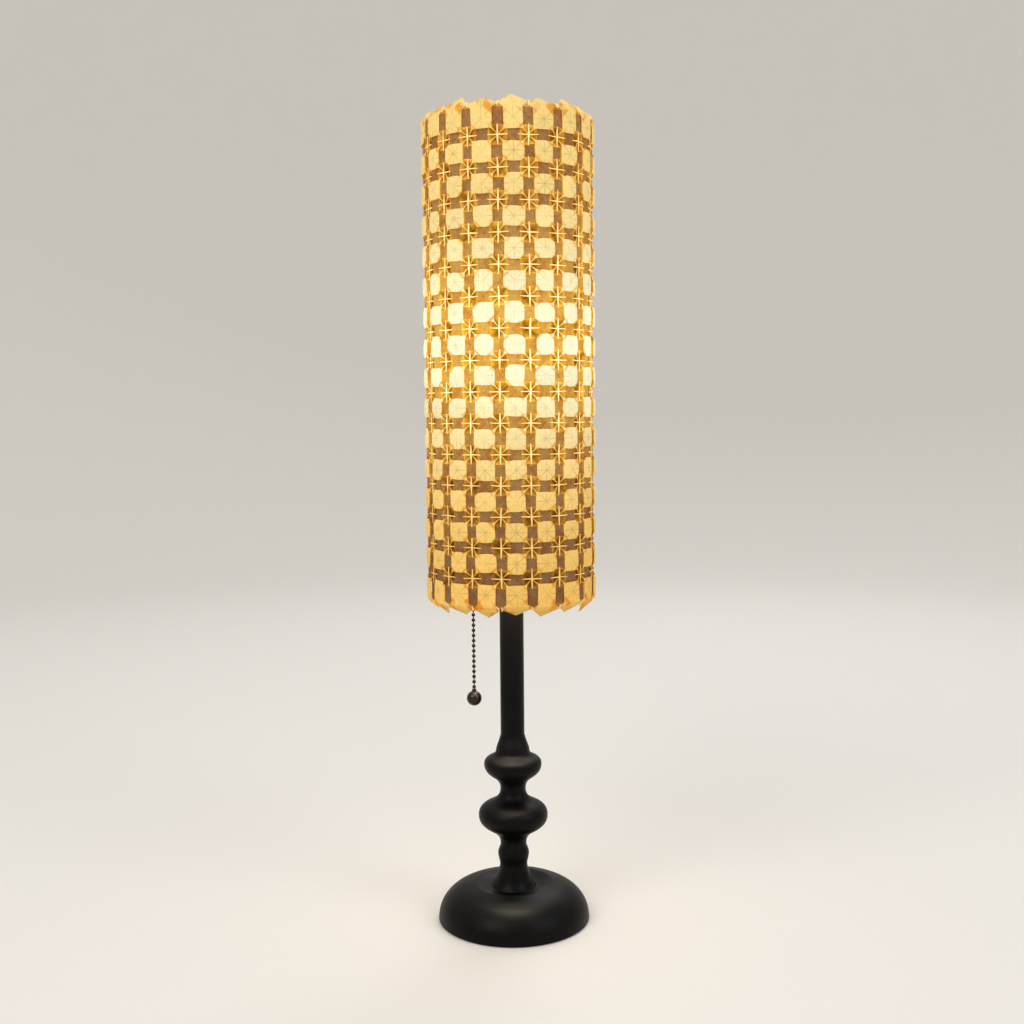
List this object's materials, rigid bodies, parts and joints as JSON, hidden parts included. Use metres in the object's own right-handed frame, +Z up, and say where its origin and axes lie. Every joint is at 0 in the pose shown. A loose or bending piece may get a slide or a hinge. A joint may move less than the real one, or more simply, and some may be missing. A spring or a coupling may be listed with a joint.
{
  "type": "table lamp",
  "caption": "Table lamp with a tall cylindrical shade of interlocked folded paper modules, a turned black column on a domed base and a ball pull chain.",
  "frame": {"origin": "centre of the base's underside", "axes": "+Z up along the column, -Y to the front, -X to the side of the pull chain"},
  "size_m": [0.1416, 0.1416, 0.6724],
  "materials": {
    "black_paint": "matte black enamel over cast and drawn metal",
    "iron": "raw casting",
    "felt": "black wool felt",
    "fibreboard": "pressed fibreboard",
    "zinc_steel": "zinc plated",
    "black_nylon": "moulded nylon",
    "antique_brass": "aged brass plate",
    "dark_bronze": "dark bronze plate, polished",
    "phenolic": "moulded phenolic",
    "cap_metal": "rolled aluminium",
    "bulb_glass": "inside frosted",
    "tungsten": "drawn wire",
    "shade_wire": "white powder coat",
    "liner_sheet": "translucent parchment paper",
    "paper_cream": "folded washi-type paper"
  },
  "bodies": {
    "base": {"base_dome": "black_paint", "base_weight": "iron", "bottom_cover": "fibreboard", "felt_pad": "felt", "lock_washer": "zinc_steel", "bottom_nut": "zinc_steel", "threaded_rod": "zinc_steel", "cord_bushing": "black_nylon", "column": "black_paint", "stem_tube": "black_paint", "tube_cap": "black_paint", "harp_saddle": "antique_brass", "saddle_nut": "zinc_steel", "harp": "antique_brass", "harp_stud": "antique_brass", "socket_cap": "dark_bronze", "socket_shell": "dark_bronze", "socket_liner": "fibreboard", "socket_body": "phenolic", "screw_shell": "cap_metal", "centre_contact": "antique_brass", "terminal_screws": "antique_brass", "chain_arm": "dark_bronze", "drum_pin": "zinc_steel"},
    "sleeve_front": {"sleeve_front": "antique_brass"},
    "sleeve_rear": {"sleeve_rear": "antique_brass"},
    "drum": {"switch_drum": "phenolic"},
    "arm_chain": {"arm_chain": "dark_bronze"},
    "pull": {"socket_chain": "dark_bronze"},
    "connector": {"chain_connector": "dark_bronze"},
    "hanging_chain": {"extension_chain": "dark_bronze", "pull_ball": "dark_bronze"},
    "bulb": {"bulb_cap": "cap_metal", "bulb_glass": "bulb_glass", "bulb_stem": "bulb_glass", "bulb_filament": "tungsten"},
    "shade": {"shade_spider": "shade_wire", "shade_bottom_ring": "shade_wire", "shade_liner": "liner_sheet", "paper_row_01": "paper_cream", "paper_row_02": "paper_cream", "paper_row_03": "paper_cream", "paper_row_04": "paper_cream", "paper_row_05": "paper_cream", "paper_row_06": "paper_cream", "paper_row_07": "paper_cream", "paper_row_08": "paper_cream", "paper_row_09": "paper_cream", "paper_row_10": "paper_cream", "paper_row_11": "paper_cream", "paper_row_12": "paper_cream", "paper_row_13": "paper_cream", "paper_row_14": "paper_cream", "paper_row_15": "paper_cream", "paper_row_16": "paper_cream"},
    "finial": {"finial": "dark_bronze"}
  },
  "joints": [
    {"name": "chain_pull", "type": "slide", "parent": "base", "child": "pull", "axis": [0, 0, -1], "range_m": [0, 0.008], "stiffness_N_per_m": 600, "springref_m": -0.004},
    {"name": "arm_chain_run", "type": "slide", "parent": "base", "child": "arm_chain", "axis": [-1, 0, 0], "range_m": [0, 0.008]},
    {"name": "drum_turn", "type": "hinge", "parent": "base", "child": "drum", "pos_m": [-0.004, 0, 0.3981], "axis": [0, -1, 0], "range_deg": [0, 78]},
    {"name": "chain_sway", "type": "hinge", "parent": "pull", "child": "connector", "pos_m": [-0.032, 0, 0.3793], "axis": [0, 1, 0], "range_deg": [-4, 8]},
    {"name": "chain_swing", "type": "hinge", "parent": "connector", "child": "hanging_chain", "pos_m": [-0.032, 0, 0.3741], "axis": [1, 0, 0], "range_deg": [-12, 12]},
    {"name": "sleeve_front_lift", "type": "slide", "parent": "base", "child": "sleeve_front", "axis": [0, 0, 1], "range_m": [0, 0.012]},
    {"name": "sleeve_rear_lift", "type": "slide", "parent": "base", "child": "sleeve_rear", "axis": [0, 0, 1], "range_m": [0, 0.012]},
    {"name": "bulb_turn", "type": "hinge", "parent": "base", "child": "bulb", "pos_m": [0, 0, 0.42], "axis": [0, 0, 1], "continuous": true},
    {"name": "shade_turn", "type": "hinge", "parent": "base", "child": "shade", "pos_m": [0, 0, 0.645], "axis": [0, 0, 1], "continuous": true},
    {"name": "finial_turn", "type": "hinge", "parent": "base", "child": "finial", "pos_m": [0, 0, 0.65], "axis": [0, 0, 1], "continuous": true}
  ],
  "couplings": [
    {"joint": "arm_chain_run", "follows": "chain_pull", "ratio": 1},
    {"joint": "drum_turn", "follows": "chain_pull", "rad_per_m": 169.49}
  ]
}
